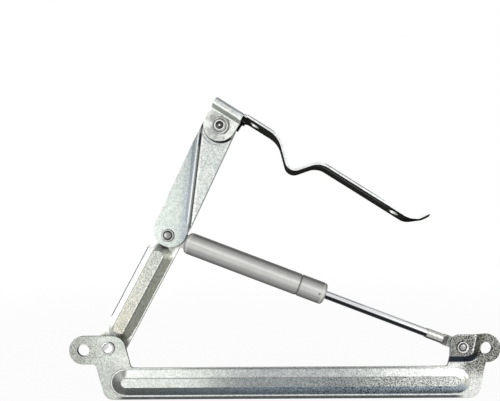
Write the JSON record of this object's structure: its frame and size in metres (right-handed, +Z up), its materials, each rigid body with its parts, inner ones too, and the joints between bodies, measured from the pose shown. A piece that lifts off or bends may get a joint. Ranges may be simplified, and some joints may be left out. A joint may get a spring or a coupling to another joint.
{
  "type": "lid support",
  "caption": "Gas-sprung lid support: a pressed base rail, two folding arms, a gas spring and a bracket that carries the lid.",
  "frame": {"origin": "midway between the two mounting holes, on the back face of the base rail", "axes": "+X from the arm's pivot to the spring's pivot along the base rail, +Z up, +Y into the side panel that the rail is screwed to"},
  "size_m": [0.4314, 0.0314, 0.302],
  "materials": {
    "zinc_sheet": "bright zinc plated pressed sheet with a fine spangle",
    "zinc_rivet": "zinc plated rivets and washers",
    "grey_paint": "smooth satin grey paint",
    "rod_chrome": "hard chrome, polished",
    "zinc_fitting": "zinc plated turned and flattened end fitting",
    "piston_steel": "machined steel",
    "guide_polymer": "dark bearing polymer",
    "seal_rubber": "black nitrile rubber",
    "bush_bronze": "bearing bronze"
  },
  "bodies": {
    "base": {"base_rail": "zinc_sheet", "arm_tube_rivet": "zinc_rivet", "arm_spacer": "zinc_rivet", "arm_rear_washer": "zinc_rivet", "spring_rivet": "zinc_rivet", "spring_spacer": "zinc_rivet"},
    "lower_arm": {"lower_arm": "zinc_sheet", "knee_rivet": "zinc_rivet", "knee_front_washer": "zinc_rivet", "knee_rear_washer": "zinc_rivet"},
    "upper_arm": {"upper_arm": "zinc_sheet", "top_rivet": "zinc_rivet", "top_washer": "zinc_rivet"},
    "lid_bracket": {"lid_bracket": "zinc_sheet"},
    "barrel": {"spring_barrel": "grey_paint", "spring_tail_eye": "zinc_fitting", "tail_eye_bush": "bush_bronze", "rod_guide": "guide_polymer", "rod_seal": "seal_rubber", "seal_washer": "piston_steel"},
    "rod": {"piston_rod": "rod_chrome", "piston": "piston_steel", "piston_ring": "guide_polymer", "piston_nut": "piston_steel", "rod_end": "zinc_fitting", "rod_eye_pin": "zinc_rivet", "rod_eye_washer": "zinc_rivet"}
  },
  "joints": [
    {"name": "arm_swing", "type": "hinge", "parent": "base", "child": "lower_arm", "pos_m": [-0.1765, 0, 0.002], "axis": [0, 1, 0], "range_deg": [0, 50.8]},
    {"name": "knee_fold", "type": "hinge", "parent": "lower_arm", "child": "upper_arm", "pos_m": [-0.1162, 0, 0.11445], "axis": [0, 1, 0], "range_deg": [-149.21, 0]},
    {"name": "bracket_swing", "type": "hinge", "parent": "upper_arm", "child": "lid_bracket", "pos_m": [-0.06391, 0, 0.22457], "axis": [0, 1, 0], "range_deg": [0, 66.01]},
    {"name": "barrel_swing", "type": "hinge", "parent": "lower_arm", "child": "barrel", "pos_m": [-0.1162, 0, 0.11445], "axis": [0, 1, 0], "range_deg": [-65.73, 0]},
    {"name": "rod_slide", "type": "slide", "parent": "barrel", "child": "rod", "axis": [-0.9334, 0, 0.3588], "range_m": [0, 0.08454], "stiffness_N_per_m": 300, "springref_m": -0.4}
  ],
  "couplings": [
    {"joint": "knee_fold", "follows": "arm_swing", "ratio": -2.937},
    {"joint": "bracket_swing", "follows": "arm_swing", "ratio": 1.2992},
    {"joint": "barrel_swing", "follows": "arm_swing", "ratio": -1.2937},
    {"joint": "rod_slide", "follows": "arm_swing", "m_per_rad": 0.09534}
  ]
}
